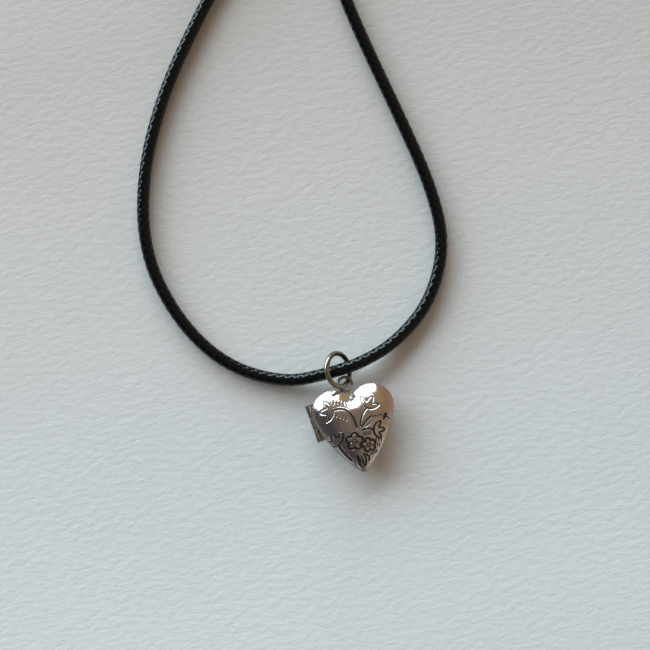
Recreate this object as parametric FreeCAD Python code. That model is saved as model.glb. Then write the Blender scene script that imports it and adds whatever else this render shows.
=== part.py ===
"""Heart locket on a waxed cord.

Two domed heart covers close face to face on a side hinge, and each holds a photo frame and a clear
window. An eyelet on the back cover hangs on a jump ring, and the ring hangs on a cord whose spare
length is wound into a flat coil. The cord ends in two caps, one with a lobster clasp and one with a
ring. The locket lies on its back: +Z points out of its front, +Y points from the heart's tip to its
eyelet, and the origin is the centre of the flat pad under the back cover. Millimetres.
"""
import FreeCAD, Part
import math
import os

Vector = FreeCAD.Vector

# Heart outline
LOBE_X = 3.05
LOBE_Y = 3.3
LOBE_RADIUS = 3.5
LOBE_END_DEG = -20.0
TIP_Y = -7.15
TIP_RADIUS = 0.75
NOTCH_RADIUS = 0.3
SCALE_CENTRE = Vector(0, 0.6, 0)

# Covers
THICKNESS = 4.8
PARTING_Z = THICKNESS / 2
SEAM_GAP = 0.06
RIM_HEIGHT = 0.5
DOME_SCALE = 0.97
WALL = 0.3
CAVITY_SCALE = 0.9
DOME_SECTIONS = 7
FRONT_PAD_SHARE = 0.8
BACK_PAD_SHARE = 0.55

# Photo frames and windows
FRAME_INNER_SCALE = 0.72
FRAME_THICKNESS = 0.3
FRAME_SETBACK = 0.06
WINDOW_THICKNESS = 0.15

# Hinge, a straight tube that leans a little along the heart's side
HINGE_TOP = Vector(-7.0, 5.15, PARTING_Z)
HINGE_BOTTOM = Vector(-6.1, -0.85, PARTING_Z)
KNUCKLE_RADIUS = 0.42
KNUCKLE_GAP = 0.06
PIN_RADIUS = 0.16
PIN_CLEARANCE = 0.02
HINGE_RELIEF = 0.07
LEAF_THICKNESS = 0.32
LEAF_REACH = 2.2

# Snap catch on the side opposite the hinge
CATCH_Y = 2.9
CATCH_WIDTH = 1.4
TONGUE_THICKNESS = 0.2
TONGUE_DEPTH = 0.55
CATCH_GAP = 0.05
CATCH_ROOM_HEIGHT = 2.0

# Eyelet and jump ring
EYELET_CENTRE = Vector(-0.5, 7.4, 2.05)
EYELET_RADIUS = 1.1
EYELET_WIRE = 0.25
JUMP_RING_CENTRE = Vector(-1.1, 9.8, 2.7)
JUMP_RING_RADIUS = 2.65
JUMP_RING_WIRE = 0.42
JUMP_RING_LEAN_DEG = 48.0
JUMP_RING_SPLIT_AT_DEG = 130.0
JUMP_RING_SPLIT_DEG = 2.0

# Cord: the route's points, from the coil down the left strand, through the jump ring and up again
CORD_RADIUS = 1.0
CORD_ROUTE = [
    (2.2, 84.8, 1.0),
    (-5.5, 77.4, 1.0),
    (-12.3, 69.2, 1.0),
    (-20.2, 58.3, 1.0),
    (-25.9, 46.1, 1.0),
    (-27.9, 33.8, 1.0),
    (-24.8, 22.6, 1.0),
    (-18.7, 13.9, 1.0),
    (-10.0, 9.4, 1.0),
    (-3.1, 9.5, 2.4),
    (2.8, 10.2, 2.4),
    (9.1, 12.5, 1.0),
    (15.5, 17.8, 1.0),
    (19.4, 26.2, 1.0),
    (19.0, 35.7, 1.0),
    (16.2, 47.6, 1.0),
    (13.1, 59.5, 1.0),
    (10.8, 70.0, 1.0),
    (10.9, 78.0, 1.0),
    (14.0, 84.5, 1.4),
]
CORD_END_B = (17.8, 89.9, 1.4)
COIL_RADII = (12.0, 8.0)
COIL_TURNS = 4
TAIL_HEADING_DEG = 60.0
TAIL_ROUTE = [
    (7.3, 92.6, 3.0),
    (11.0, 97.8, 1.4),
]
CORD_END_A = (14.3, 102.3, 1.4)
RADIUS_SHARE = 0.45

# Cord caps and link rings
CAP_RADIUS = 1.4
CAP_DEPTH = 3.0
CAP_CROWN = 1.2
CAP_CROWN_FILLET = 0.72
CAP_LOOP_RADIUS = 0.95
CAP_LOOP_WIRE = 0.3
LINK_RADIUS = 1.9
LINK_WIRE = 0.3
LINK_LEAN_DEG = 75.0
LINK_CENTRE_Z = 2.15

# Clasp, along +X from the centre of its eye
CLASP_MID_Z = 1.3
CLASP_THICKNESS = 2.4
CLASP_EYE_RADIUS = 1.4
CLASP_EYE_HOLE = 0.8
CLASP_EYE_THICKNESS = 0.6
CLASP_NECK_WIDTH = 1.6
CLASP_NECK_OVERLAP = 1.0
CLASP_SHAFT_X = 2.2
CLASP_SHAFT_WIDTH = 3.0
CLASP_HOOK_X = 8.2
CLASP_HOOK_OUTER = 3.1
CLASP_HOOK_INNER = 2.0
MOUTH_X = 6.0
MOUTH_START_DEG = 25.0
MOUTH_END_DEG = 160.0
MOUTH_SPARE = 0.2
CLASP_SLOT = 1.3
SLOT_START_X = 3.4
SLOT_END_X = 7.6
SLOT_FLOOR_Y = -0.3
PIVOT = (4.7, 0.9)
LEVER_THICKNESS = 0.8
LEVER_EYE_RADIUS = 0.8
GATE_INNER = 1.3
GATE_OUTER = 1.9
GATE_TIP_DEG = 15.0
GATE_ROOT_DEG = 175.0
ARM_Y = 0.2
TAB_LENGTH = 2.0
TAB_WIDTH = 1.0
TAB_SET_BACK = 0.2
RIVET_RADIUS = 0.3
RIVET_CLEARANCE = 0.02
SPRING_RADIUS = 0.5
SPRING_WIRE = 0.08

NODES = {}


def polar(centre, radius, degrees):
    a = math.radians(degrees)
    return Vector(centre[0] + radius * math.cos(a), centre[1] + radius * math.sin(a), 0)


def arc(centre, radius, start_deg, end_deg):
    """Arc in the XY plane from one angle to another, the way the angles run."""
    middle = (start_deg + end_deg) / 2
    points = [polar(centre, radius, a) for a in (start_deg, middle, end_deg)]
    return Part.Arc(*points).toShape()


def heart_wire(scale=1.0, z=0.0):
    """Heart outline: two round lobes, long bowed flanks, a rounded tip and a soft notch."""
    lobe = (LOBE_X, LOBE_Y)
    notch_y = LOBE_Y + math.sqrt((LOBE_RADIUS + NOTCH_RADIUS) ** 2 - LOBE_X**2)
    notch_deg = math.degrees(math.atan2(notch_y - LOBE_Y, -LOBE_X))
    lobe_end = polar(lobe, LOBE_RADIUS, LOBE_END_DEG)
    inward = polar((0, 0), 1.0, LOBE_END_DEG)
    chord = lobe_end - Vector(0, TIP_Y, 0)
    flank_radius = chord.dot(chord) / (2 * inward.dot(chord))
    flank = lobe_end - inward * flank_radius
    tip_y = flank.y - math.sqrt((flank_radius - TIP_RADIUS) ** 2 - flank.x**2)
    tip_deg = math.degrees(math.atan2(tip_y - flank.y, -flank.x))
    right = [
        arc(lobe, LOBE_RADIUS, notch_deg, LOBE_END_DEG),
        arc(flank, flank_radius, LOBE_END_DEG, tip_deg),
    ]
    left = [edge.mirror(Vector(0, 0, 0), Vector(1, 0, 0)) for edge in right]
    notch = arc((0, notch_y), NOTCH_RADIUS, notch_deg - 180, -notch_deg)
    tip = arc((0, tip_y), TIP_RADIUS, tip_deg, -180 - tip_deg)
    wire = Part.Wire(Part.__sortEdges__([notch, right[0], right[1], tip, left[1], left[0]]))
    wire = wire.scaled(scale, SCALE_CENTRE)
    wire.translate(Vector(0, 0, z))
    return wire


def heart_prism(scale, z, height):
    return Part.Face(heart_wire(scale, z)).extrude(Vector(0, 0, height))


def dome(base_scale, base_z, top_z, pad_share):
    """Pillow of heart sections that shrink along a parabola to a flat pad."""
    full_rise = 1 - (1 - pad_share) ** 2
    sections = []
    for i in range(DOME_SECTIONS):
        inward = pad_share * i / (DOME_SECTIONS - 1)
        rise = (1 - (1 - inward) ** 2) / full_rise
        sections.append(heart_wire(base_scale * (1 - inward), base_z + (top_z - base_z) * rise))
    return Part.makeLoft(sections, True, False)


def cover(pad_share):
    """Stamped cover over the plane z = 0: a flat rim, a dome above it and a hollow below."""
    height = THICKNESS / 2
    start = SEAM_GAP / 2
    outside = heart_prism(1.0, start, RIM_HEIGHT - start)
    outside = outside.fuse(dome(DOME_SCALE, RIM_HEIGHT, height, pad_share))
    hollow = heart_prism(CAVITY_SCALE, 0, RIM_HEIGHT)
    hollow = hollow.fuse(dome(CAVITY_SCALE, RIM_HEIGHT, height - WALL, pad_share))
    return outside.cut(hollow)


def facing(shape, side):
    """Put a shape built above z = 0 on the front side (+1) or, upside down, on the back (-1)."""
    shape = shape.copy()
    if side < 0:
        shape = shape.mirror(Vector(0, 0, 0), Vector(0, 0, 1))
    shape.translate(Vector(0, 0, PARTING_Z))
    return shape


def along_hinge(start, length, radius):
    """Round bar on the hinge's axis, its start measured from the hinge's top end."""
    direction = (HINGE_BOTTOM - HINGE_TOP).normalize()
    return Part.makeCylinder(radius, length, HINGE_TOP + direction * start, direction)


def hinge_length():
    return (HINGE_BOTTOM - HINGE_TOP).Length


def knuckle(index, side, bore_radius, outline):
    """One of three tubes of the hinge, with the leaf that joins it to its cover's rim."""
    length = (hinge_length() - 2 * KNUCKLE_GAP) / 3
    start = index * (length + KNUCKLE_GAP)
    direction = (HINGE_BOTTOM - HINGE_TOP).normalize()
    middle = HINGE_TOP + direction * (start + length / 2)
    z0 = SEAM_GAP / 2 if side > 0 else -SEAM_GAP / 2 - LEAF_THICKNESS
    leaf = Part.makeBox(LEAF_REACH, length, LEAF_THICKNESS, Vector(0, -length / 2, z0))
    lean = math.degrees(math.atan2(direction.x, -direction.y))
    leaf.rotate(Vector(0, 0, 0), Vector(0, 0, 1), lean)
    leaf.translate(middle)
    tube = along_hinge(start, length, KNUCKLE_RADIUS).fuse(leaf.cut(outline))
    return tube.cut(along_hinge(start, length, bore_radius)).removeSplitter()


def catch_box(x, z, thickness, height, spare=0.0):
    """Upright block on the catch's side of the heart, spare all round for a cut-out."""
    size = (thickness + 2 * spare, CATCH_WIDTH + 2 * spare, height + 2 * spare)
    return Part.makeBox(*size, Vector(x - spare, CATCH_Y - CATCH_WIDTH / 2 - spare, z - spare))


def torus(centre, radius, wire):
    return Part.makeTorus(radius, wire, centre, Vector(0, 0, 1))


def build_locket():
    front = facing(cover(FRONT_PAD_SHARE), 1)
    back = facing(cover(BACK_PAD_SHARE), -1)
    outline = heart_prism(1.0, 0, THICKNESS)
    relief = along_hinge(0, hinge_length(), KNUCKLE_RADIUS + HINGE_RELIEF)
    outline = outline.cut(relief)
    NODES["front_cover"] = front.cut(relief)
    NODES["back_cover"] = back.cut(relief)
    build_hinge(outline)
    build_catch_and_frames()
    build_eyelet(outline)


def build_hinge(outline):
    NODES["hinge_knuckle_upper"] = knuckle(0, -1, PIN_RADIUS, outline)
    NODES["hinge_knuckle_middle"] = knuckle(1, 1, PIN_RADIUS + PIN_CLEARANCE, outline)
    NODES["hinge_knuckle_lower"] = knuckle(2, -1, PIN_RADIUS, outline)
    NODES["hinge_pin"] = along_hinge(0, hinge_length(), PIN_RADIUS)


def build_catch_and_frames():
    """A tongue on the front dips behind the back's rim, and the back's keeper faces it."""
    wall_x = CAVITY_SCALE * (LOBE_X + LOBE_RADIUS)
    tongue_x = wall_x - CATCH_GAP - 2 * TONGUE_THICKNESS
    foot_z = PARTING_Z + FRAME_SETBACK
    blade_z = PARTING_Z - TONGUE_DEPTH
    blade = catch_box(tongue_x, blade_z, TONGUE_THICKNESS, foot_z - blade_z)
    foot = catch_box(tongue_x, foot_z, 3 * TONGUE_THICKNESS, FRAME_THICKNESS)
    keeper_z = PARTING_Z - RIM_HEIGHT + CATCH_GAP
    keeper = catch_box(wall_x - TONGUE_THICKNESS, keeper_z, 2 * TONGUE_THICKNESS, TONGUE_THICKNESS)
    tongue = blade.fuse(foot).common(heart_prism(CAVITY_SCALE, 0, THICKNESS))
    NODES["catch_tongue"] = tongue.removeSplitter()
    NODES["catch_keeper"] = keeper.common(heart_prism(CAVITY_SCALE, 0, THICKNESS))
    room_z = PARTING_Z - CATCH_ROOM_HEIGHT / 2
    room = catch_box(tongue_x, room_z, 4 * TONGUE_THICKNESS, CATCH_ROOM_HEIGHT, CATCH_GAP)
    ring = heart_prism(CAVITY_SCALE, FRAME_SETBACK, FRAME_THICKNESS)
    ring = ring.cut(heart_prism(FRAME_INNER_SCALE, 0, RIM_HEIGHT))
    pane_scale = (CAVITY_SCALE + FRAME_INNER_SCALE) / 2
    pane = heart_prism(pane_scale, FRAME_SETBACK + FRAME_THICKNESS, WINDOW_THICKNESS)
    for name, side in (("front", 1), ("back", -1)):
        NODES[name + "_photo_frame"] = facing(ring, side).cut(room)
        NODES[name + "_window"] = facing(pane, side)


def build_eyelet(outline):
    """Wire ring soldered into the notch, where it also touches the left lobe's shoulder."""
    ring = torus(EYELET_CENTRE, EYELET_RADIUS, EYELET_WIRE)
    foot = Vector(0, LOBE_Y, EYELET_CENTRE.z)
    length = EYELET_CENTRE.y - EYELET_RADIUS + EYELET_WIRE - LOBE_Y
    stem = Part.makeCylinder(EYELET_WIRE, length, foot, Vector(0, 1, 0))
    NODES["bail_eyelet"] = ring.fuse(stem).cut(outline)


def build_jump_ring():
    """Round wire ring that leans to the right, with a hair-wide split at its upper left."""
    centre = Vector(0, 0, 0)
    up = Vector(0, 0, 1)
    turn = 360 - JUMP_RING_SPLIT_DEG
    wire = Part.makeTorus(JUMP_RING_RADIUS, JUMP_RING_WIRE, centre, up, -180, 180, turn)
    wire.rotate(centre, up, JUMP_RING_SPLIT_AT_DEG)
    wire.rotate(centre, Vector(0, 1, 0), JUMP_RING_LEAN_DEG)
    wire.translate(JUMP_RING_CENTRE)
    NODES["jump_ring"] = wire


def cord_path(name, points):
    """Straight runs joined by tangent arcs, each arc as large as its two runs allow."""
    points = [Vector(*p) for p in points]
    edges = []
    start = points[0]
    radii = []
    for before, corner, after in zip(points, points[1:], points[2:]):
        run_in, run_out = corner - before, after - corner
        turn = run_in.getAngle(run_out)
        cut = RADIUS_SHARE * min(run_in.Length, run_out.Length)
        radius = cut / math.tan(turn / 2)
        radii.append(round(radius, 1))
        side_in = corner - run_in.normalize() * cut
        side_out = corner + run_out.normalize() * cut
        to_centre = (side_in + side_out) / 2 - corner
        reach = math.hypot(radius, cut)
        middle = corner + to_centre.normalize() * (reach - radius)
        edges.append(Part.LineSegment(start, side_in).toShape())
        edges.append(Part.Arc(side_in, middle, side_out).toShape())
        start = side_out
    edges.append(Part.LineSegment(start, points[-1]).toShape())
    print(name, "bend radii", radii)
    return Part.Wire(edges)


def cord_tube(name, points):
    path = cord_path(name, points)
    first = Vector(*points[1]) - Vector(*points[0])
    section = Part.Wire([Part.makeCircle(CORD_RADIUS, Vector(*points[0]), first)])
    tube = path.makePipeShell([section], True, False)
    expected = math.pi * CORD_RADIUS**2 * path.Length
    print(name, "length", round(path.Length, 2), "volume share", round(tube.Volume / expected, 4))
    return tube, path.Length


def coil_centre():
    """The left strand meets the coil's outer turn at a tangent, with the coil on its left."""
    entry, after = Vector(*CORD_ROUTE[0]), Vector(*CORD_ROUTE[1])
    heading = (entry - after).normalize()
    return entry + Vector(-heading.y, heading.x, 0) * COIL_RADII[0] - Vector(0, 0, CORD_RADIUS)


def tail_start():
    """Where the cord leaves the coil's upper layer, at a tangent."""
    a = math.radians(TAIL_HEADING_DEG - 90)
    spot = Vector(math.cos(a), math.sin(a), 0) * COIL_RADII[0]
    return tuple(coil_centre() + spot + Vector(0, 0, 3 * CORD_RADIUS))


def build_cord():
    centre = coil_centre()
    outer = COIL_RADII[0] + CORD_RADIUS
    inner = COIL_RADII[1] - CORD_RADIUS
    coil = Part.makeCylinder(outer, 4 * CORD_RADIUS, centre)
    coil = coil.cut(Part.makeCylinder(inner, 4 * CORD_RADIUS, centre))
    strand, strand_length = cord_tube("cord_strand", CORD_ROUTE + [CORD_END_B])
    tail, tail_length = cord_tube("cord_tail", [tail_start()] + TAIL_ROUTE + [CORD_END_A])
    NODES["cord_coil"] = coil
    NODES["cord_strand"] = strand.cut(coil)
    NODES["cord_tail"] = tail.cut(coil)
    turns = COIL_TURNS * math.pi * sum(COIL_RADII)
    print("cord length", round(strand_length + tail_length + turns, 1))


def placed(shape, point, direction):
    """Move a shape built along +X from the origin to a point, level, along a heading."""
    shape = shape.copy()
    heading = math.degrees(math.atan2(direction.y, direction.x))
    shape.rotate(Vector(0, 0, 0), Vector(0, 0, 1), heading)
    shape.translate(point)
    return shape


def cord_cap():
    """Crimp cap that holds the cord's end, with a loop beyond its crown."""
    along = Vector(1, 0, 0)
    mouth = Vector(-CAP_DEPTH, 0, 0)
    body = Part.makeCylinder(CAP_RADIUS, CAP_DEPTH + CAP_CROWN, mouth, along)
    crown = max((e for e in body.Edges if e.BoundBox.XLength < 0.01), key=lambda e: e.BoundBox.XMax)
    body = body.makeFillet(CAP_CROWN_FILLET, [crown])
    body = body.cut(Part.makeCylinder(CORD_RADIUS, CAP_DEPTH, mouth, along))
    return body.fuse(torus(Vector(CAP_CROWN + CAP_LOOP_RADIUS, 0, 0), CAP_LOOP_RADIUS, CAP_LOOP_WIRE))


def link_reach(z):
    """How far along its line a leaning link ring passes through the level z."""
    depth = (LINK_CENTRE_Z - z) / math.sin(math.radians(LINK_LEAN_DEG))
    return math.sqrt(LINK_RADIUS**2 - depth**2)


def link_ring():
    """Small ring that stands leaning over the line between the two loops it joins."""
    ring = torus(Vector(0, 0, 0), LINK_RADIUS, LINK_WIRE)
    ring.rotate(Vector(0, 0, 0), Vector(1, 0, 0), LINK_LEAN_DEG)
    return ring


def plate(x_start, x_end, y_start, y_end, thickness):
    """Flat block centred on z = 0."""
    corner = Vector(x_start, y_start, -thickness / 2)
    return Part.makeBox(x_end - x_start, y_end - y_start, thickness, corner)


def disc(centre, radius, thickness):
    """Round plate centred on z = 0."""
    return Part.makeCylinder(radius, thickness, Vector(*centre, -thickness / 2))


def hook_sector(inner, outer, start_deg, end_deg, thickness):
    """Part of a flat ring about the hook's centre, between two angles."""
    base = Vector(CLASP_HOOK_X, 0, -thickness / 2)
    up = Vector(0, 0, 1)
    ring = Part.makeCylinder(outer, thickness, base, up, end_deg - start_deg)
    ring.rotate(base, up, start_deg)
    return ring.cut(disc((CLASP_HOOK_X, 0), inner, thickness))


def clasp_body():
    """Lobster claw: a flat eye, a slotted shaft and a round hook open on its +Y side."""
    thick = CLASP_THICKNESS
    side = CLASP_SHAFT_WIDTH / 2
    neck_side = CLASP_NECK_WIDTH / 2
    neck_end = CLASP_SHAFT_X + CLASP_NECK_OVERLAP
    body = disc((0, 0), CLASP_EYE_RADIUS, CLASP_EYE_THICKNESS)
    body = body.fuse([
        plate(CLASP_EYE_HOLE, neck_end, -neck_side, neck_side, CLASP_EYE_THICKNESS),
        plate(CLASP_SHAFT_X, CLASP_HOOK_X - CLASP_HOOK_INNER, -side, side, thick),
        disc((CLASP_HOOK_X, 0), CLASP_HOOK_OUTER, thick),
    ])
    reach = CLASP_HOOK_OUTER + MOUTH_SPARE
    mouth = hook_sector(CLASP_HOOK_INNER - MOUTH_SPARE, reach, MOUTH_START_DEG, MOUTH_END_DEG, thick)
    mouth = mouth.cut(plate(0, MOUTH_X, -reach, reach, thick))
    body = body.cut([
        disc((CLASP_HOOK_X, 0), CLASP_HOOK_INNER, thick),
        disc((0, 0), CLASP_EYE_HOLE, CLASP_EYE_THICKNESS),
        mouth,
        plate(SLOT_START_X, SLOT_END_X, SLOT_FLOOR_Y, reach, CLASP_SLOT),
        disc(PIVOT, RIVET_RADIUS, thick),
    ])
    return body.removeSplitter()


def clasp_lever():
    """Gate that closes the hook's mouth, with an eye on the rivet and a thumb tab outside."""
    thick = LEVER_THICKNESS
    pivot_x, pivot_y = PIVOT
    tab_x = pivot_x - TAB_SET_BACK
    lever = disc(PIVOT, LEVER_EYE_RADIUS, thick)
    lever = lever.fuse([
        hook_sector(GATE_INNER, GATE_OUTER, GATE_TIP_DEG, GATE_ROOT_DEG, thick),
        plate(pivot_x, CLASP_HOOK_X - GATE_INNER, ARM_Y, ARM_Y + GATE_OUTER - GATE_INNER, thick),
        plate(tab_x, tab_x + TAB_WIDTH, pivot_y, pivot_y + TAB_LENGTH, thick),
    ])
    return lever.cut(disc(PIVOT, RIVET_RADIUS + RIVET_CLEARANCE, thick)).removeSplitter()


def build_ends():
    ends = (("a", CORD_END_A, TAIL_ROUTE[-1], "clasp_ring"), ("b", CORD_END_B, CORD_ROUTE[-1], "end_ring"))
    for letter, end, before, ring_name in ends:
        end = Vector(*end)
        direction = (end - Vector(*before)).normalize()
        loop = end + direction * (CAP_CROWN + CAP_LOOP_RADIUS)
        ring_centre = loop + direction * link_reach(loop.z)
        ring_centre.z = LINK_CENTRE_Z
        NODES["cord_end_" + letter] = placed(cord_cap(), end, direction)
        NODES[ring_name] = placed(link_ring(), ring_centre, direction)
        print(ring_name, "loop at", rounded(loop), "ring at", rounded(ring_centre))
        if letter == "a":
            eye = ring_centre + direction * link_reach(CLASP_MID_Z)
            eye.z = CLASP_MID_Z
            build_clasp(eye, direction)


def build_clasp(eye, direction):
    spring_z = (LEVER_THICKNESS + CLASP_SLOT) / 4
    pieces = {
        "clasp_body": clasp_body(),
        "clasp_lever": clasp_lever(),
        "clasp_rivet": disc(PIVOT, RIVET_RADIUS, CLASP_THICKNESS),
        "clasp_spring": torus(Vector(*PIVOT, spring_z), SPRING_RADIUS, SPRING_WIRE),
    }
    for name, shape in pieces.items():
        NODES[name] = placed(shape, eye, direction)
    pivot = placed(Part.Vertex(*PIVOT, 0), eye, direction).Point
    print("clasp eye", rounded(eye), "lever pivot", rounded(pivot))


def rounded(point):
    return [round(v, 3) for v in point]


def main():
    build_locket()
    build_jump_ring()
    build_cord()
    build_ends()
    os.makedirs("parts", exist_ok=True)
    for name, shape in NODES.items():
        solids = len(shape.Solids)
        print(name, "solids", solids, "valid", shape.isValid(), "volume", round(shape.Volume, 3))
        shape.exportStep("parts/" + name + ".step")


main()
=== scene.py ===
"""Looks of the heart locket on its waxed cord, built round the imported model. Metres."""
import bpy
import math
import numpy as np
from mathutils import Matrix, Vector


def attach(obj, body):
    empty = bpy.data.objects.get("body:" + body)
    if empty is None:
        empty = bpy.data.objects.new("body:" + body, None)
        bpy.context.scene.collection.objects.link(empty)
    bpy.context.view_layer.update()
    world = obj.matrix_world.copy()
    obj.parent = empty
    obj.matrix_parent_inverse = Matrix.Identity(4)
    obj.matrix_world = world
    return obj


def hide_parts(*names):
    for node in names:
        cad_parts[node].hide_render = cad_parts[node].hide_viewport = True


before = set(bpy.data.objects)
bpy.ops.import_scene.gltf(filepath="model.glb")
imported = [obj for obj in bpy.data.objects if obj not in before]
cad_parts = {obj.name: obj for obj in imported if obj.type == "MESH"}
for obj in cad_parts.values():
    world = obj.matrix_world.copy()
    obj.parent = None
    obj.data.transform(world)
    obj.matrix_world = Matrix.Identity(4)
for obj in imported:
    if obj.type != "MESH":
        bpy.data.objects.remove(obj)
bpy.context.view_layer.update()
MM = 0.001

# ---------------------------------------------------------------- cord facts, as in the CAD source, in mm
CORD_RADIUS = 1.0 * MM
STRAND = [
    (2.2, 84.8, 1.0),
    (-5.5, 77.4, 1.0),
    (-12.3, 69.2, 1.0),
    (-20.2, 58.3, 1.0),
    (-25.9, 46.1, 1.0),
    (-27.9, 33.8, 1.0),
    (-24.8, 22.6, 1.0),
    (-18.7, 13.9, 1.0),
    (-10.0, 9.4, 1.0),
    (-3.1, 9.5, 2.4),
    (2.8, 10.2, 2.4),
    (9.1, 12.5, 1.0),
    (15.5, 17.8, 1.0),
    (19.4, 26.2, 1.0),
    (19.0, 35.7, 1.0),
    (16.2, 47.6, 1.0),
    (13.1, 59.5, 1.0),
    (10.8, 70.0, 1.0),
    (10.9, 78.0, 1.0),
    (14.0, 84.5, 1.4),
    (17.8, 89.9, 1.4),
]
TAIL = [
    (7.3, 92.6, 3.0),
    (11.0, 97.8, 1.4),
    (14.3, 102.3, 1.4),
]
COIL_OUTER = 12.0
COIL_INNER = 8.0
COIL_TURNS = 4
COIL_CLIMB_TURNS = 0.25
COIL_CLIMB = 2.0
COIL_POINTS_PER_TURN = 16
TAIL_HEADING_DEG = 60.0
CURVE_STEPS = 24
SAME_PLACE = 1e-9


def smooth_step(share):
    return share * share * (3 - 2 * share)


def coil_points():
    """The coil from the strand's start to the tail: inwards below, a climb, and outwards above."""
    entry, after = Vector(STRAND[0]), Vector(STRAND[1])
    heading = (entry - after).normalized()
    centre = entry + Vector((-heading.y, heading.x, 0)) * COIL_OUTER
    start = math.atan2(entry.y - centre.y, entry.x - centre.x)
    end = math.radians(TAIL_HEADING_DEG - 90) + math.tau * COIL_TURNS
    climb_angle = math.tau * COIL_CLIMB_TURNS
    spiral = (end - start - climb_angle) / 2
    count = round((end - start) / math.tau * COIL_POINTS_PER_TURN)
    points = []
    for i in range(1, count):
        angle = (end - start) * i / count
        past_low = min(angle / spiral, 1.0)
        past_high = max((angle - spiral - climb_angle) / spiral, 0.0)
        climb = min(max((angle - spiral) / climb_angle, 0.0), 1.0)
        radius = COIL_OUTER + (COIL_INNER - COIL_OUTER) * (past_low - past_high)
        around = Vector((math.cos(start + angle), math.sin(start + angle), 0))
        lift = Vector((0, 0, COIL_CLIMB * smooth_step(climb)))
        points.append(tuple(centre + around * radius + lift))
    return points


def cord_curve():
    """The whole cord as one smooth spline, from the clasp's cap to the end ring's cap."""
    route = TAIL[::-1] + coil_points()[::-1] + STRAND
    curve = bpy.data.curves.new("cord_line", "CURVE")
    curve.dimensions = "3D"
    curve.resolution_u = CURVE_STEPS
    spline = curve.splines.new("NURBS")
    spline.points.add(len(route) - 1)
    for point, place in zip(spline.points, route):
        point.co = (*(Vector(place) * MM), 1.0)
    spline.order_u = 3
    spline.use_endpoint_u = True
    return curve


def curve_points(curve):
    """Points along a curve that has no bevel."""
    holder = bpy.data.objects.new("cord_line", curve)
    bpy.context.scene.collection.objects.link(holder)
    bpy.context.view_layer.update()
    mesh = bpy.data.meshes.new_from_object(holder)
    points = np.array([v.co for v in mesh.vertices], float)
    bpy.data.objects.remove(holder)
    return points


def distances(points):
    """The distance of each point from the first, along the line of points."""
    return np.r_[0, np.cumsum(np.linalg.norm(np.diff(points, axis=0), axis=1))]


def spread_evenly(points, at):
    """Points at the given distances along a line of points."""
    along = distances(points)
    return np.stack([np.interp(at, along, column) for column in points.T], 1)


def resample(points, spacing):
    """Evenly spaced points along a line of points, with the distance of each from its start."""
    steps = np.linalg.norm(np.diff(points, axis=0), axis=1)
    points = points[np.r_[True, steps > SAME_PLACE]]
    length = distances(points)[-1]
    at = np.linspace(0, length, int(length / spacing) + 1)
    return spread_evenly(points, at), at


def new_mesh(name, vertices, faces, smooth=True):
    mesh = bpy.data.meshes.new(name)
    mesh.from_pydata([tuple(v) for v in vertices], [], faces)
    mesh.validate()
    piece = bpy.data.objects.new(name, mesh)
    bpy.context.scene.collection.objects.link(piece)
    if smooth:
        mesh.polygons.foreach_set("use_smooth", [True] * len(mesh.polygons))
    return piece


def float_attribute(piece, name, values):
    attribute = piece.data.attributes.new(name, "FLOAT", "POINT")
    attribute.data.foreach_set("value", np.asarray(values, np.float32))


# ---------------------------------------------------------------- camera
VIEW_CENTRE = Vector((-1.8, 17.2, 0)) * MM
VIEW_WIDTH = 104 * MM
VIEW_HEIGHT = 0.28
VIEW_ROLL_DEG = -11.0
SENSOR_WIDTH = 36.0
CLIP_START = 0.01


def add_camera():
    """Straight above the table, with the locket turned a little clockwise in the picture."""
    data = bpy.data.cameras.new("camera")
    data.sensor_width = SENSOR_WIDTH
    data.lens = SENSOR_WIDTH * VIEW_HEIGHT / VIEW_WIDTH
    data.clip_start = CLIP_START
    camera = bpy.data.objects.new("camera", data)
    camera.location = VIEW_CENTRE + Vector((0, 0, VIEW_HEIGHT))
    camera.rotation_euler = (0, 0, math.radians(VIEW_ROLL_DEG))
    bpy.context.scene.collection.objects.link(camera)
    bpy.context.scene.camera = camera


add_camera()

# ---------------------------------------------------------------- materials, with noise scales per metre
TARNISH_SCALE = 260
SPECK_SCALE = 5200
HAIRLINE_SCALE = 1500
HAIRLINE_STRETCH = (1, 0.06, 1)
DENT_SCALE = 700
DENT_DEPTH = 0.02 * MM
HAIRLINE_DEPTH = 0.004 * MM
INK_COLOUR = (0.012, 0.011, 0.011)
INK_ROUGHNESS = 0.3
HAZE_SCALE = 900
FILM_ALPHA = 0.3
FILM_WAVE = 0.02 * MM
FIBRE_SCALE = 9000
FIBRE_DEPTH = 0.02 * MM
SMEAR_SCALE = 420
WAX_GLOSS = 0.36
WAX_TINT = (0.72, 0.88, 1.0, 1)
CLOUD_SCALE = 45
PULP_SCALE = 1100
PULP_STRETCH = (0.55, 1, 1)
PULP_DEPTH = 0.14 * MM
PAPER_ROUGHNESS = 0.85
# where the painted light on the paper is brightest and where it is dimmest
PAINTED_LIGHT_NEAR_Y = -0.03
PAINTED_LIGHT_FAR_Y = 0.065


def node_material(name):
    """A new material, with its nodes, links, shader and object coordinates."""
    material = bpy.data.materials.new(name)
    material.use_nodes = True
    nodes = material.node_tree.nodes
    place = nodes.new("ShaderNodeTexCoord").outputs["Object"]
    return material, nodes, material.node_tree.links, nodes["Principled BSDF"], place


def noise(nodes, links, place, scale, detail=3.0, stretch=(1, 1, 1), distortion=0.0):
    """Noise, stretched along one axis for drawn or brushed marks."""
    mapping = nodes.new("ShaderNodeMapping")
    mapping.inputs["Scale"].default_value = stretch
    texture = nodes.new("ShaderNodeTexNoise")
    texture.inputs["Scale"].default_value = scale
    texture.inputs["Detail"].default_value = detail
    texture.inputs["Distortion"].default_value = distortion
    links.new(place, mapping.inputs["Vector"])
    links.new(mapping.outputs["Vector"], texture.inputs["Vector"])
    return texture.outputs["Fac"]


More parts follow.
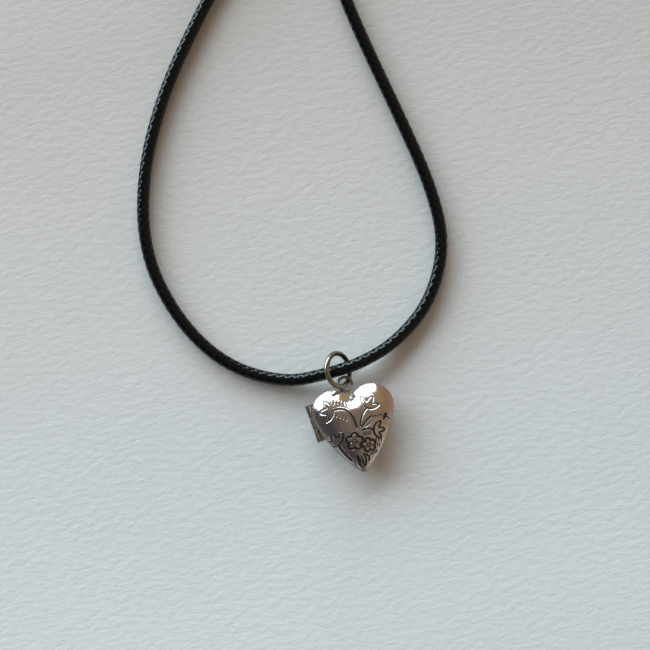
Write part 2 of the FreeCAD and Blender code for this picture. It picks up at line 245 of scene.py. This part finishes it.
def ramp(nodes, links, value, stops):
    node = nodes.new("ShaderNodeValToRGB")
    elements = node.color_ramp.elements
    while len(elements) < len(stops):
        elements.new(0.5)
    for element, (place, colour) in zip(elements, stops):
        element.position = place
        element.color = (*colour, 1)
    links.new(value, node.inputs["Fac"])
    return node.outputs["Color"]


def blend_colour(nodes, links, amount, first, second, blend_type="MIX"):
    """Blend two colours, of which either may be plain. With no amount, the second has its full effect."""
    node = nodes.new("ShaderNodeMix")
    node.data_type = "RGBA"
    node.blend_type = blend_type
    if amount is None:
        node.inputs["Factor"].default_value = 1.0
    else:
        links.new(amount, node.inputs["Factor"])
    for socket, colour in ((node.inputs["A"], first), (node.inputs["B"], second)):
        if isinstance(colour, tuple):
            socket.default_value = (*colour, 1)
        else:
            links.new(colour, socket)
    return node.outputs["Result"]


def between(nodes, links, value, low, high, from_low=0.3, from_high=0.7):
    node = nodes.new("ShaderNodeMapRange")
    node.inputs["From Min"].default_value = from_low
    node.inputs["From Max"].default_value = from_high
    node.inputs["To Min"].default_value = low
    node.inputs["To Max"].default_value = high
    links.new(value, node.inputs["Value"])
    return node.outputs["Result"]


def combine(nodes, links, operation, *values):
    """A Math node on values or plain numbers."""
    node = nodes.new("ShaderNodeMath")
    node.operation = operation
    for socket, value in zip(node.inputs, values):
        if isinstance(value, float):
            socket.default_value = value
        else:
            links.new(value, socket)
    return node.outputs["Value"]


def attribute_value(nodes, name):
    node = nodes.new("ShaderNodeAttribute")
    node.attribute_name = name
    return node.outputs["Fac"]


def bump(nodes, links, height, strength, distance, under=None):
    node = nodes.new("ShaderNodeBump")
    node.inputs["Strength"].default_value = strength
    node.inputs["Distance"].default_value = distance
    links.new(height, node.inputs["Height"])
    if under is not None:
        links.new(under, node.inputs["Normal"])
    return node.outputs["Normal"]


def worn_metal(name, light, dark, rough, ink=False):
    """Plated metal: patchy tarnish, fine hairlines, faint dents, and black left in the engraving."""
    material, nodes, links, shader, place = node_material(name)
    tarnish = noise(nodes, links, place, TARNISH_SCALE, 4)
    colour = ramp(nodes, links, tarnish, [(0.32, dark), (0.68, light)])
    specks = noise(nodes, links, place, SPECK_SCALE)
    speckled = between(nodes, links, specks, 0.0, 0.35, 0.55, 0.75)
    colour = blend_colour(nodes, links, speckled, colour, dark)
    hairs = noise(nodes, links, place, HAIRLINE_SCALE, 4, HAIRLINE_STRETCH, 0.3)
    roughness = between(nodes, links, hairs, *rough)
    dents = noise(nodes, links, place, DENT_SCALE, 2)
    normal = bump(nodes, links, dents, 0.25, DENT_DEPTH)
    normal = bump(nodes, links, hairs, 0.12, HAIRLINE_DEPTH, normal)
    if ink:
        grain = between(nodes, links, specks, 0.75, 1.0)
        amount = combine(nodes, links, "MULTIPLY", attribute_value(nodes, "ink"), grain)
        colour = blend_colour(nodes, links, amount, colour, INK_COLOUR)
        roughness = combine(nodes, links, "MULTIPLY_ADD", amount, INK_ROUGHNESS, roughness)
    links.new(colour, shader.inputs["Base Color"])
    links.new(roughness, shader.inputs["Roughness"])
    links.new(normal, shader.inputs["Normal"])
    shader.inputs["Metallic"].default_value = 1.0
    return material


def clear_film():
    """Thin plastic, slightly hazy and not quite flat."""
    material, nodes, links, shader, place = node_material("clear_film")
    haze = noise(nodes, links, place, HAZE_SCALE)
    colour = ramp(nodes, links, haze, [(0.3, (0.86, 0.9, 0.9)), (0.7, (0.95, 0.96, 0.95))])
    links.new(colour, shader.inputs["Base Color"])
    links.new(between(nodes, links, haze, 0.04, 0.16), shader.inputs["Roughness"])
    links.new(bump(nodes, links, haze, 0.1, FILM_WAVE), shader.inputs["Normal"])
    shader.inputs["Alpha"].default_value = FILM_ALPHA
    return material


def waxed_braid():
    """Black cotton under a skin of wax, with painted shade down between the strands and pale dust on the
    fibres.
    """
    material, nodes, links, shader, place = node_material("waxed_braid")
    fibres = noise(nodes, links, place, FIBRE_SCALE, 4)
    smears = noise(nodes, links, place, SMEAR_SCALE)
    # painted shade: the braid's height makes the base colour darker in the valleys between the strands and
    # lighter on their tops
    strand_tops_unshaded = between(nodes, links, attribute_value(nodes, "strand"), 0.0, 1.0, 0.35, 0.95)
    colour = blend_colour(nodes, links, strand_tops_unshaded, (0.0012, 0.0012, 0.0015), (0.0035, 0.0036, 0.004))
    dust = between(nodes, links, fibres, 0.0, 0.5, 0.55, 0.8)
    colour = blend_colour(nodes, links, dust, colour, (0.005, 0.0056, 0.0066))
    links.new(colour, shader.inputs["Base Color"])
    links.new(between(nodes, links, smears, 0.09, 0.17), shader.inputs["Roughness"])
    links.new(bump(nodes, links, fibres, 0.2, FIBRE_DEPTH), shader.inputs["Normal"])
    shader.inputs["Specular IOR Level"].default_value = WAX_GLOSS
    shader.inputs["Specular Tint"].default_value = WAX_TINT
    return material


def soft_paper():
    """The pale, slightly fibrous sheet under the locket, with painted light: brighter and cooler near the
    heart, darker and warmer at its far side.
    """
    material, nodes, links, shader, place = node_material("soft_paper")
    cloud = noise(nodes, links, place, CLOUD_SCALE, 4)
    pulp = noise(nodes, links, place, PULP_SCALE, 5, PULP_STRETCH, 0.3)
    colour = ramp(nodes, links, cloud, [(0.3, (0.97, 0.97, 0.97)), (0.7, (1.0, 1.0, 1.0))])
    flecks = between(nodes, links, pulp, 0.0, 0.6, 0.3, 0.7)
    colour = blend_colour(nodes, links, flecks, colour, (0.93, 0.93, 0.94))
    # painted light and shade: the paper's colour grows brighter and cooler towards the heart's tip and
    # darker and warmer away from it
    axes = nodes.new("ShaderNodeSeparateXYZ")
    links.new(place, axes.inputs["Vector"])
    far = between(nodes, links, axes.outputs["Y"], 0.0, 1.0, PAINTED_LIGHT_NEAR_Y, PAINTED_LIGHT_FAR_Y)
    painted_light_tone = ramp(nodes, links, far, [(0.0, (0.82, 0.88, 0.92)), (1.0, (0.60, 0.585, 0.565))])
    colour = blend_colour(nodes, links, None, painted_light_tone, colour, "MULTIPLY")
    links.new(colour, shader.inputs["Base Color"])
    shader.inputs["Roughness"].default_value = PAPER_ROUGHNESS
    links.new(bump(nodes, links, pulp, 0.45, PULP_DEPTH), shader.inputs["Normal"])
    return material


SILVER = worn_metal("dark_silver", (0.76, 0.74, 0.72), (0.52, 0.48, 0.46), (0.12, 0.24), ink=True)
FRAME_METAL = worn_metal("frame_metal", (0.66, 0.63, 0.58), (0.50, 0.46, 0.41), (0.26, 0.42))
HINGE_METAL = worn_metal("hinge_metal", (0.50, 0.50, 0.50), (0.28, 0.27, 0.27), (0.2, 0.36))
GUNMETAL = worn_metal("gunmetal", (0.42, 0.385, 0.335), (0.22, 0.195, 0.165), (0.14, 0.3))
CLEAR_FILM = clear_film()
WAXED_BRAID = waxed_braid()

# ---------------------------------------------------------------- cord
RING_POINTS = 48
CORD_STEP = 0.15 * MM
BRAID_STRANDS = 6
BRAID_CELL = 1.47 * MM
BRAID_RELIEF = 0.1 * MM
STRAND_SIDE_POWER = 0.6
STRAND_END_POWER = 0.8
STRAND_END_HEIGHT = 0.35


def side_vectors(points):
    """Two unit vectors across the line at each point, turned as little as possible along it."""
    tangents = np.gradient(points, axis=0)
    tangents /= np.linalg.norm(tangents, axis=1)[:, None]
    first = np.zeros_like(points)
    side = np.cross(tangents[0], (0, 0, 1.0))
    for i, tangent in enumerate(tangents):
        side = side - tangent * (side @ tangent)
        side /= np.linalg.norm(side)
        first[i] = side
    return first, np.cross(tangents, first)


def braid_height(around, along):
    """0 to 1: strands cross in two directions, one over and one under, in turn."""
    a = around * BRAID_STRANDS + along / BRAID_CELL
    b = around * BRAID_STRANDS - along / BRAID_CELL
    even = (np.floor(a) + np.floor(b)) % 2 == 0
    across = np.where(even, a, b) % 1.0
    length = np.where(even, b, a) % 1.0
    crown = np.sin(np.pi * across) ** STRAND_SIDE_POWER
    arch = np.sin(np.pi * length) ** STRAND_END_POWER
    return crown * (STRAND_END_HEIGHT + (1 - STRAND_END_HEIGHT) * arch)


def tube_faces(rings, points):
    """Quads between rings of points, and a face over each end."""
    faces = []
    for i in range(rings - 1):
        for j in range(points):
            k = (j + 1) % points
            faces.append((i * points + j, i * points + k, (i + 1) * points + k, (i + 1) * points + j))
    faces.append(tuple(range(points))[::-1])
    faces.append(tuple(range((rings - 1) * points, rings * points)))
    return faces


def add_cord():
    points, along = resample(curve_points(cord_curve()), CORD_STEP)
    first, second = side_vectors(points)
    around = np.arange(RING_POINTS) / RING_POINTS
    height = braid_height(around[None, :], along[:, None])
    radius = CORD_RADIUS - BRAID_RELIEF * (1 - height)
    angle = around * math.tau
    out = first[:, None] * np.cos(angle)[None, :, None] + second[:, None] * np.sin(angle)[None, :, None]
    vertices = (points[:, None] + out * radius[..., None]).reshape(-1, 3)
    piece = new_mesh("braided_cord", vertices, tube_faces(len(points), RING_POINTS))
    float_attribute(piece, "strand", height.ravel())
    piece.data.materials.append(WAXED_BRAID)
    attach(piece, "cord")
    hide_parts("cord_strand", "cord_coil", "cord_tail")


add_cord()

# ---------------------------------------------------------------- heart covers, in mm
LOBE = (3.05, 3.3)
LOBE_RADIUS = 3.5
LOBE_END_DEG = -20.0
TIP_Y = -7.15
TIP_RADIUS = 0.75
NOTCH_RADIUS = 0.3
NOTCH_POINTS = 12
LONG_ARC_POINTS = 240
TIP_POINTS = 30
HEART_CENTRE = np.array([0.0, 0.6])
PARTING_Z = 2.4
HALF_HEIGHT = 2.4
RIM_START = 0.03
RIM_HEIGHT = 0.5
LEDGE = 0.14
EDGE_ROUND = 0.05
EDGE_BLEND = 0.02
EDGE_SHOULDER = 0.3 * EDGE_ROUND
RIM_WALL = 0.5
CROWN_WALL = 0.3
RIM_PROFILE = [
    (LEDGE - EDGE_BLEND, RIM_HEIGHT),
    (EDGE_ROUND + EDGE_BLEND, RIM_HEIGHT),
    (EDGE_ROUND, RIM_HEIGHT),
    (EDGE_SHOULDER, RIM_HEIGHT - EDGE_SHOULDER),
    (0, RIM_HEIGHT - EDGE_ROUND),
    (0, RIM_START + EDGE_ROUND / 2),
    (EDGE_ROUND / 2, RIM_START),
    (RIM_WALL, RIM_START),
]
HOLLOW_SHARES = (1, 0.96, 0.9, 0.8, 0.65, 0.45, 0.25, 0.1)
DOME_POWER = 1.6
RING_CROWDING = 0.9
BOUNDARY_SKIP = 4
ON_LINE = 1e-6
HINGE_TOP = np.array([-7.0, 5.15])
HINGE_BOTTOM = np.array([-6.1, -0.85])
HINGE_RELIEF = 0.46
HINGE_END_SPARE = 0.02
FRONT_DETAIL = (960, 190)
BACK_DETAIL = (480, 70)
FRONT_SLOPE_SHARE = 1.0
BACK_SLOPE_SHARE = 0.62


def arc_points(centre, radius, start_deg, end_deg, count):
    angles = np.radians(np.linspace(start_deg, end_deg, count, endpoint=False))
    return np.stack([centre[0] + radius * np.cos(angles), centre[1] + radius * np.sin(angles)], 1)


def heart_outline(count):
    """Evenly spaced points round the heart, clockwise from the notch, and their outward normals."""
    notch_y = LOBE[1] + math.sqrt((LOBE_RADIUS + NOTCH_RADIUS) ** 2 - LOBE[0] ** 2)
    notch_deg = math.degrees(math.atan2(notch_y - LOBE[1], -LOBE[0]))
    lobe_end_angle = math.radians(LOBE_END_DEG)
    inward = np.array([math.cos(lobe_end_angle), math.sin(lobe_end_angle)])
    lobe_end = np.array(LOBE) + LOBE_RADIUS * inward
    chord = lobe_end - np.array([0, TIP_Y])
    flank_radius = chord @ chord / (2 * inward @ chord)
    flank = lobe_end - inward * flank_radius
    tip_y = flank[1] - math.sqrt((flank_radius - TIP_RADIUS) ** 2 - flank[0] ** 2)
    tip_deg = math.degrees(math.atan2(tip_y - flank[1], -flank[0]))
    half = np.concatenate([
        arc_points((0, notch_y), NOTCH_RADIUS, -90, notch_deg - 180, NOTCH_POINTS),
        arc_points(LOBE, LOBE_RADIUS, notch_deg, LOBE_END_DEG, LONG_ARC_POINTS),
        arc_points(flank, flank_radius, LOBE_END_DEG, tip_deg, LONG_ARC_POINTS),
        arc_points((0, tip_y), TIP_RADIUS, tip_deg, -90, TIP_POINTS),
        [[0, tip_y - TIP_RADIUS]],
    ])
    loop = np.concatenate([half, (half * (-1, 1))[-2:0:-1], half[:1]])
    points = spread_evenly(loop, np.linspace(0, distances(loop)[-1], count, endpoint=False))
    tangents = np.roll(points, -1, 0) - np.roll(points, 1, 0)
    tangents /= np.linalg.norm(tangents, axis=1)[:, None]
    return points, np.stack([-tangents[:, 1], tangents[:, 0]], 1)


def depth_inside(places, boundary):
    """A smooth depth from a closed line: the true distance near it, with no ridge in the middle."""
    pull = np.zeros(len(places))
    for a, b in zip(boundary, np.roll(boundary, -1, 0)):
        tangent = (b - a) / np.linalg.norm(b - a)
        to_a, to_b = a - places, b - places
        along_a, along_b = to_a @ tangent, to_b @ tangent
        off = np.maximum((to_a**2).sum(1) - along_a**2, ON_LINE)
        pull += (along_b / np.sqrt(off + along_b**2) - along_a / np.sqrt(off + along_a**2)) / off
    return np.sqrt(2 / pull)


def dome_rise(depth, full_depth):
    """Height of the dome, 0 at its edge to 1 where it reaches its full depth."""
    share = np.clip(depth / full_depth, 0, 1)
    return 1 - (1 - share) ** DOME_POWER


def relieved(vertices):
    """Moves what is too near the hinge's axis straight out from it."""
    base = np.array([*HINGE_TOP, PARTING_Z])
    direction = np.array([*(HINGE_BOTTOM - HINGE_TOP), 0])
    length = np.linalg.norm(direction)
    direction /= length
    reach = (vertices - base) @ direction
    foot = base + reach[:, None] * direction
    away = vertices - foot
    gap = np.linalg.norm(away, axis=1)
    beside = (reach > -HINGE_END_SPARE) & (reach < length + HINGE_END_SPARE)
    near = (gap < HINGE_RELIEF) & (gap > ON_LINE) & beside
    vertices[near] = foot[near] + away[near] / gap[near][:, None] * HINGE_RELIEF
    return vertices


def shell_faces(total, count, flip):
    """Quads between rings of points, closed by a fan to one more point at each end."""
    faces = []
    for i in range(total // count - 1):
        for j in range(count):
            k = (j + 1) % count
            faces.append((i * count + j, (i + 1) * count + j, (i + 1) * count + k, i * count + k))
    for j in range(count):
        k = (j + 1) % count
        faces.append((total, j, k))
        faces.append((total + 1, total - count + k, total - count + j))
    return [face[::-1] for face in faces] if flip else faces


def cover_mesh(name, side, detail, slope_share, engraving=None):
    """One closed shell: dome, ledge, rounded rim, parting face and hollow. side is +1 or -1."""
    count, rings = detail
    outline, normals = heart_outline(count)
    edge = outline - normals * LEDGE
    shares = np.linspace(0, 1, rings + 1)[1:] ** RING_CROWDING
    places = np.concatenate([HEART_CENTRE + (edge - HEART_CENTRE) * share for share in shares])
    depth = depth_inside(places, edge[::BOUNDARY_SKIP])
    depth[-count:] = 0
    full_depth = depth.max() * slope_share
    height = RIM_HEIGHT + (HALF_HEIGHT - RIM_HEIGHT) * dome_rise(depth, full_depth)
    ink = np.zeros(len(places))
    if engraving is not None:
        carve, ink = engraving(places, depth)
        height = height + carve
    layers = [np.column_stack([places, height])]
    for inset, z in RIM_PROFILE:
        layers.append(np.column_stack([outline - normals * inset, np.full(count, z)]))
    inner = outline - normals * RIM_WALL
    for share in HOLLOW_SHARES:
        ring = HEART_CENTRE + (inner - HEART_CENTRE) * share
        rise = np.zeros(count)
        if share < 1:
            rise = dome_rise(depth_inside(ring, inner[::BOUNDARY_SKIP]), full_depth)
        z = RIM_HEIGHT + (HALF_HEIGHT - RIM_HEIGHT - CROWN_WALL) * rise
        layers.append(np.column_stack([ring, z]))
    top = [[*HEART_CENTRE, layers[0][:count, 2].mean()]]
    bottom = [[*HEART_CENTRE, layers[-1][:, 2].mean()]]
    vertices = np.concatenate([*layers, top, bottom])
    faces = shell_faces(len(vertices) - 2, count, flip=side > 0)
    vertices[:, 2] = PARTING_Z + side * vertices[:, 2]
    piece = new_mesh(name, relieved(vertices) * MM, faces)
    float_attribute(piece, "ink", np.r_[ink, np.zeros(len(vertices) - len(ink))])
    return piece


# ---------------------------------------------------------------- engraving, in mm
LINE = 0.36
FINE_LINE = 0.22
GROOVE_DEPTH = 0.09
GROOVE_WALL = 0.12
LIP_HEIGHT = 0.025
LIP_WIDTH = 0.08
INK_MARGIN = 0.1
INK_SPREAD = 0.03
INK_SOFTNESS = 0.05
FAINTEST_FILL = 0.6
PLAIN_BORDER = 0.25
FAR_OUTSIDE = -10.0
TULIP_SPREAD_DEG = 52.0
TULIP_POINTS = 40
TULIP_TIPS = 0.22
TULIP_SHOULDER_DEG = 88
TULIP_SHOULDER = 0.55
PETALS = 5
PETAL_DEPTH = 0.38
PETAL_ROUNDNESS = 0.7
FLOWER_POINTS = 101
FLOWER_RING = 0.3
FLOWER_DOT = 0.2


def bend(start, control, end, count=14):
    """Points along a quadratic curve."""
    t = np.linspace(0, 1, count)[:, None]
    return (1 - t) ** 2 * np.array(start) + 2 * t * (1 - t) * np.array(control) + t**2 * np.array(end)


def spot(place, heading_deg, distance):
    a = math.radians(heading_deg)
    return np.array([place[0] + distance * math.cos(a), place[1] + distance * math.sin(a)])


def stem(start, control, end, width, ink, count=14):
    return [(bend(start, control, end, count), width, ink)]


def tulip(place, heading_deg, size, ink):
    """A cup with three petal tips that opens along its heading."""
    angles = np.linspace(-TULIP_SPREAD_DEG, TULIP_SPREAD_DEG, TULIP_POINTS)
    waves = np.cos(np.radians(angles * 360 / TULIP_SPREAD_DEG))
    reach = size * (1 - TULIP_TIPS + TULIP_TIPS * waves)
    lip = np.array([spot(place, heading_deg + a, r) for a, r in zip(angles, reach)])
    strokes = [(lip, LINE, ink)]
    for side, corner in ((-1, lip[0]), (1, lip[-1])):
        shoulder = spot(place, heading_deg + side * TULIP_SHOULDER_DEG, size * TULIP_SHOULDER)
        strokes += stem(place, shoulder, corner, LINE, ink)
    return strokes


def flower(place, size, turn_deg, ink):
    """Five round petals with a short vein in each gap, about a ringed centre."""
    angles = np.linspace(0, 360, FLOWER_POINTS)
    petal = np.abs(np.cos(np.radians(PETALS / 2 * (angles - turn_deg)))) ** PETAL_ROUNDNESS
    reach = size * (1 - PETAL_DEPTH + PETAL_DEPTH * petal)
    rim = np.array([spot(place, a, r) for a, r in zip(angles, reach)])
    ring = np.array([spot(place, a, size * FLOWER_RING) for a in angles[::10]])
    dot = np.array([place, spot(place, turn_deg, size * 0.04)])
    strokes = [(rim, LINE * 1.2, ink), (ring, FINE_LINE, ink), (dot, size * FLOWER_DOT, ink)]
    for k in range(PETALS):
        heading = turn_deg + 360 / PETALS * (k + 0.5)
        vein = np.array([spot(place, heading, size * 0.32), spot(place, heading, size * 0.5)])
        strokes.append((vein, FINE_LINE * 0.8, ink * 0.6))
    return strokes


def leaf(start, end, width, ink):
    """A filled blade, widest in its middle."""
    t = np.linspace(0, 1, 16)[:, None]
    spine = np.array(start) * (1 - t) + np.array(end) * t
    return [(spine, width * np.sin(np.pi * t[:, 0]) ** 0.8 + 0.02, ink)]


def ticks(start, end, count, heading_deg, length, ink):
    """A row of short cuts from start to end, all along one heading."""
    strokes = []
    for share in np.linspace(0, 1, count):
        place = np.array(start) * (1 - share) + np.array(end) * share
        strokes.append((np.array([place, spot(place, heading_deg, length)]), FINE_LINE, ink))
    return strokes


def spray():
    """Four cup flowers, a bud and two round flowers, on stems that meet below the notch."""
    strokes = tulip((-3.1, 3.65), 176, 2.1, 0.6)
    strokes += stem((-3.1, 3.65), (-0.3, 4.3), (0.05, 0.4), LINE, 0.9, 24)
    strokes += ticks((-3.3, 5.4), (-0.9, 4.45), 6, 285, 0.42, 0.8)
    strokes += ticks((-2.6, 3.15), (-1.2, 2.25), 4, 250, 0.5, 0.8)

    strokes += tulip((2.2, 3.1), 56, 1.95, 0.4)
    strokes += stem((2.2, 3.1), (1.1, 2.5), (0.6, 0.5), LINE, 0.7, 20)

    strokes += stem((0.8, 0.3), (1.7, 1.3), (2.6, 1.7), LINE, 1.0)
    strokes += ticks((2.85, 1.72), (4.15, 1.74), 4, 270, 0.18, 1.0)
    strokes += leaf((4.3, 0.75), (5.1, 1.9), 0.55, 1.0)
    strokes += stem((4.55, 1.2), (5.2, 1.2), (5.4, 0.7), FINE_LINE, 0.9)
    strokes += leaf((1.1, 0.1), (2.75, 0.95), 0.3, 0.8)

    strokes += stem((0.9, -0.2), (1.7, 0.2), (2.55, -0.45), LINE, 1.0)
    strokes += tulip((2.55, -0.5), -8, 1.75, 1.0)
    strokes += ticks((1.0, -0.55), (2.0, -0.6), 4, 262, 0.48, 0.9)

    strokes += tulip((-3.3, -1.85), 112, 2.0, 1.0)
    strokes += stem((-3.3, -1.85), (-2.7, -3.4), (-1.7, -4.6), LINE * 1.2, 1.0, 20)
    strokes += stem((-2.9, 0.3), (-2.6, -0.1), (-2.3, 0.35), FINE_LINE, 0.7)

    strokes += flower((-0.7, -1.75), 1.35, 80, 1.0)
    strokes += flower((1.4, -2.65), 1.1, 95, 1.0)
    strokes += leaf((-0.75, -3.65), (-0.45, -6.0), 0.6, 1.0)
    strokes += leaf((-0.1, -4.1), (0.05, -6.1), 0.34, 1.0)
    strokes += stem((0.35, -3.9), (0.7, -4.8), (0.3, -5.7), LINE, 1.0)
    strokes += stem((0.75, -4.05), (1.2, -4.5), (0.95, -5.1), LINE, 1.0)
    strokes += ticks((2.75, -1.75), (3.5, -2.1), 3, 255, 0.42, 0.9)
    strokes += ticks((2.5, -2.5), (3.1, -2.85), 3, 255, 0.42, 0.9)
    strokes += ticks((1.5, -3.95), (2.5, -3.75), 4, 240, 0.5, 0.9)
    return strokes


def depth_in_stroke(places, points, half):
    """How far each place is inside a stroke that has a half width at each of its points."""
    inside = np.full(len(places), FAR_OUTSIDE)
    for a, b, half_a, half_b in zip(points, points[1:], half, half[1:]):
        run = b - a
        share = np.clip((places - a) @ run / (run @ run), 0, 1)
        gap = np.linalg.norm(places - a - share[:, None] * run, axis=1)
        inside = np.maximum(inside, half_a + (half_b - half_a) * share - gap)
    return inside


def engraved(places, depth):
    """How far each place is cut in or pushed up, and how much black it holds."""
    carve = np.zeros(len(places))
    ink = np.zeros(len(places))
    clear = np.clip(depth / PLAIN_BORDER, 0, 1)
    for points, width, stain in spray():
        half = np.broadcast_to(np.asarray(width) / 2, len(points))
        reach = half.max() + 3 * LIP_WIDTH
        low, high = points.min(0) - reach, points.max(0) + reach
        near = np.flatnonzero(((places > low) & (places < high)).all(1))
        inside = depth_in_stroke(places[near], points, half)
        cut = smooth_step(np.clip(inside / GROOVE_WALL, 0, 1))
        lip = LIP_HEIGHT * np.exp(-(((inside + LIP_WIDTH) / LIP_WIDTH) ** 2)) * (inside < 0)
        carve[near] = np.minimum(carve[near], -GROOVE_DEPTH * cut) + np.where(carve[near] >= 0, lip, 0)
        margin = INK_MARGIN * (1 - stain) - INK_SPREAD * stain
        fill = np.clip((inside - margin) / INK_SOFTNESS, 0, 1)
        ink[near] = np.maximum(ink[near], fill * (FAINTEST_FILL + (1 - FAINTEST_FILL) * stain))
    return carve * clear, ink * clear


def add_covers():
    front = cover_mesh("engraved_front", 1, FRONT_DETAIL, FRONT_SLOPE_SHARE, engraved)
    back = cover_mesh("plain_back", -1, BACK_DETAIL, BACK_SLOPE_SHARE)
    for piece, body, node in ((front, "front", "front_cover"), (back, "back", "back_cover")):
        piece.data.materials.append(SILVER)
        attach(piece, body)
        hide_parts(node)


add_covers()

# ---------------------------------------------------------------- materials and bevels on the CAD nodes
KNUCKLES = ("hinge_knuckle_upper", "hinge_knuckle_middle", "hinge_knuckle_lower")
CLASP = ("clasp_body", "clasp_lever")
NODE_MATERIALS = (
    (FRAME_METAL, ("front_photo_frame", "back_photo_frame")),
    (HINGE_METAL, KNUCKLES + ("hinge_pin", "catch_tongue", "catch_keeper", "clasp_rivet", "clasp_spring")),
    (GUNMETAL, CLASP + ("bail_eyelet", "jump_ring", "cord_end_a", "cord_end_b", "clasp_ring", "end_ring")),
    (CLEAR_FILM, ("front_window", "back_window")),
)
BEVEL_WIDTH = 0.05 * MM
BEVEL_SEGMENTS = 2
BEVEL_ANGLE_DEG = 40
WELD_DISTANCE = 0.001 * MM


def dress_nodes():
    for material, names in NODE_MATERIALS:
        for name in names:
            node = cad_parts[name]
            node.data.materials.clear()
            node.data.materials.append(material)
    for name in KNUCKLES + CLASP:
        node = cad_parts[name]
        node.modifiers.new("weld", "WELD").merge_threshold = WELD_DISTANCE
        bevel = node.modifiers.new("bevel", "BEVEL")
        bevel.width = BEVEL_WIDTH
        bevel.segments = BEVEL_SEGMENTS
        bevel.limit_method = "ANGLE"
        bevel.angle_limit = math.radians(BEVEL_ANGLE_DEG)


dress_nodes()

# ---------------------------------------------------------------- floor and light
FLOOR_SIZE = 3.0
WINDOW_SIZE = (1.76, 0.52)
WINDOW_DISTANCE = 0.88
WINDOW_HEIGHT = 0.33
WINDOW_AZIMUTH_DEG = 112.0
WINDOW_POWER = 23.6
WINDOW_COLOUR = (0.82, 0.95, 1.0)
WARM_AZIMUTH_DEG = 20.0
ROOM_COLOURS = [(0.1, (0.085, 0.07, 0.075)), (0.5, (0.245, 0.20, 0.168)), (0.9, (0.40, 0.27, 0.155))]


def add_floor():
    half = FLOOR_SIZE / 2
    corners = [(-half, -half, 0), (half, -half, 0), (half, half, 0), (-half, half, 0)]
    floor = new_mesh("floor", corners, [(0, 1, 2, 3)], smooth=False)
    floor.data.materials.append(soft_paper())


def level_direction(azimuth_deg):
    a = math.radians(azimuth_deg)
    return Vector((math.cos(a), math.sin(a), 0))


def add_window():
    """One broad, low, cool window-like light to the upper left."""
    data = bpy.data.lights.new("window", "AREA")
    data.shape = "RECTANGLE"
    data.size, data.size_y = WINDOW_SIZE
    data.energy = WINDOW_POWER
    data.color = WINDOW_COLOUR
    light = bpy.data.objects.new("window", data)
    light.location = level_direction(WINDOW_AZIMUTH_DEG) * WINDOW_DISTANCE + Vector((0, 0, WINDOW_HEIGHT))
    light.rotation_euler = (-light.location).to_track_quat("-Z", "Y").to_euler()
    bpy.context.scene.collection.objects.link(light)


def add_room():
    """A dim room, warm on its right side and dark on its left."""
    world = bpy.data.worlds.new("room")
    bpy.context.scene.world = world
    world.use_nodes = True
    nodes, links = world.node_tree.nodes, world.node_tree.links
    side = nodes.new("ShaderNodeVectorMath")
    side.operation = "DOT_PRODUCT"
    side.inputs[1].default_value = level_direction(WARM_AZIMUTH_DEG)
    links.new(nodes.new("ShaderNodeTexCoord").outputs["Generated"], side.inputs[0])
    place = between(nodes, links, side.outputs["Value"], 0.0, 1.0, -1.0, 1.0)
    links.new(ramp(nodes, links, place, ROOM_COLOURS), nodes["Background"].inputs["Color"])
    nodes["Background"].inputs["Strength"].default_value = 1.0


add_floor()
add_window()
add_room()
bpy.context.scene.view_settings.view_transform = "Standard"
